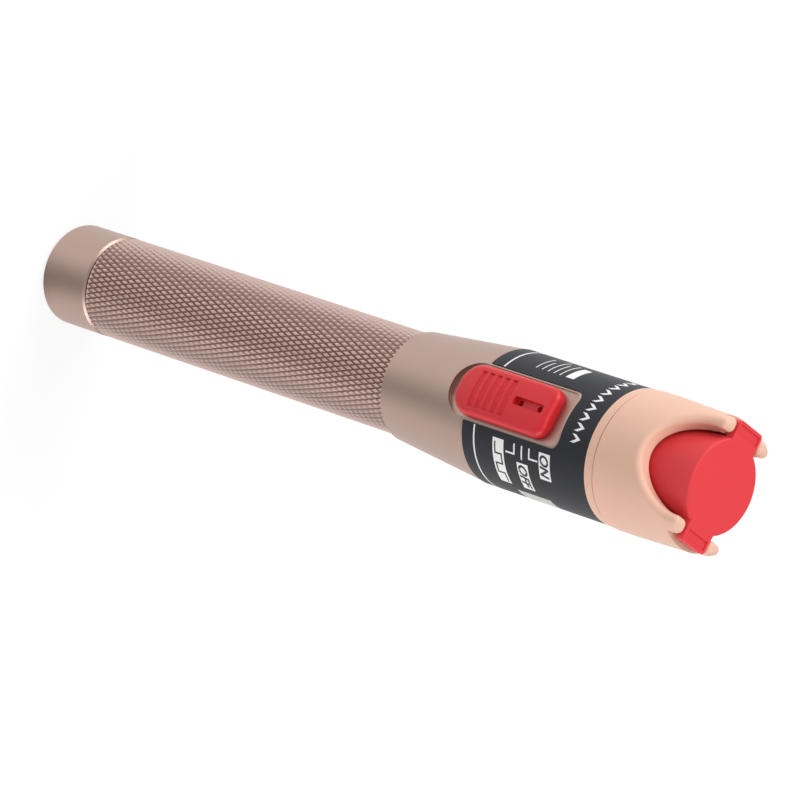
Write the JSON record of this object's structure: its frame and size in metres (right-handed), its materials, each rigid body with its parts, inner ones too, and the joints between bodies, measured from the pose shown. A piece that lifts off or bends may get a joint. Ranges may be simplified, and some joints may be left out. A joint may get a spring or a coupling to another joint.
{
  "type": "visual fault locator",
  "caption": "Pen-shaped visual fault locator for fibre: knurled battery tube, slide switch, ferrule adapter in a notched nose guard, soft pull-off dust cap",
  "frame": {"origin": "centre of the tail cap's flat end face, which the pen stands on", "axes": "+Z along the pen from the tail cap to the light output, mode button on the -Y side, dust cap's ears on the X axis"},
  "size_m": [0.0264, 0.0275, 0.1746],
  "materials": {
    "champagne_anodised": "satin anodised",
    "knurled_anodised": "knurled and anodised",
    "label_film": "printed film",
    "red_button": "satin moulded plastic",
    "red_elastomer": "soft moulded",
    "guard_plastic": "moulded plastic",
    "steel": "turned",
    "spring_steel": "drawn wire",
    "brass": "turned",
    "ceramic": "polished ceramic",
    "cell_wrapper": "shrink film over steel",
    "black_plastic": "moulded",
    "white_plastic": "moulded",
    "circuit_board": "coated laminate",
    "chip_resin": "moulded resin",
    "capacitor_can": "drawn can",
    "seal_rubber": "moulded",
    "optical_glass": "polished"
  },
  "bodies": {
    "case": {"battery_tube": "knurled_anodised", "tail_seal": "seal_rubber", "tube_seal": "seal_rubber", "rear_cell": "cell_wrapper", "front_cell": "cell_wrapper", "front_contact": "brass", "contact_insulator": "white_plastic", "head_sleeve": "champagne_anodised", "label_wrap": "label_film", "switch_body": "steel", "driver_board": "circuit_board", "driver_chip": "chip_resin", "board_capacitor": "capacitor_can", "board_carrier": "black_plastic", "board_screws": "steel", "laser_board": "circuit_board", "laser_holder": "brass", "laser_diode": "steel", "focus_lens": "optical_glass", "lens_retainer": "brass", "adapter_body": "steel", "ferrule_sleeve": "ceramic", "adapter_nut": "steel", "nose_guard": "guard_plastic"},
    "mode_slider": {"slide_button": "red_button", "switch_lever": "black_plastic"},
    "cap": {"dust_cap": "red_elastomer"},
    "tail_contacts": {"tail_spring": "spring_steel", "tail_contact": "brass"},
    "tail": {"tail_cap": "champagne_anodised"}
  },
  "joints": [
    {"name": "mode_slide", "type": "slide", "parent": "case", "child": "mode_slider", "axis": [0, 0, 1], "range_m": [-0.0019, 0.0019]},
    {"name": "cap_pull", "type": "slide", "parent": "case", "child": "cap", "axis": [0, 0, 1], "range_m": [0, 0.06]},
    {"name": "tail_travel", "type": "slide", "parent": "case", "child": "tail_contacts", "axis": [0, 0, -1], "range_m": [0, 0.0071]},
    {"name": "tail_turn", "type": "hinge", "parent": "tail_contacts", "child": "tail", "pos_m": [0, 0, 0], "axis": [0, 0, -1], "range_deg": [0, 2520]}
  ],
  "couplings": [
    {"joint": "tail_travel", "follows": "tail_turn", "m_per_rad": 0.00015915}
  ]
}
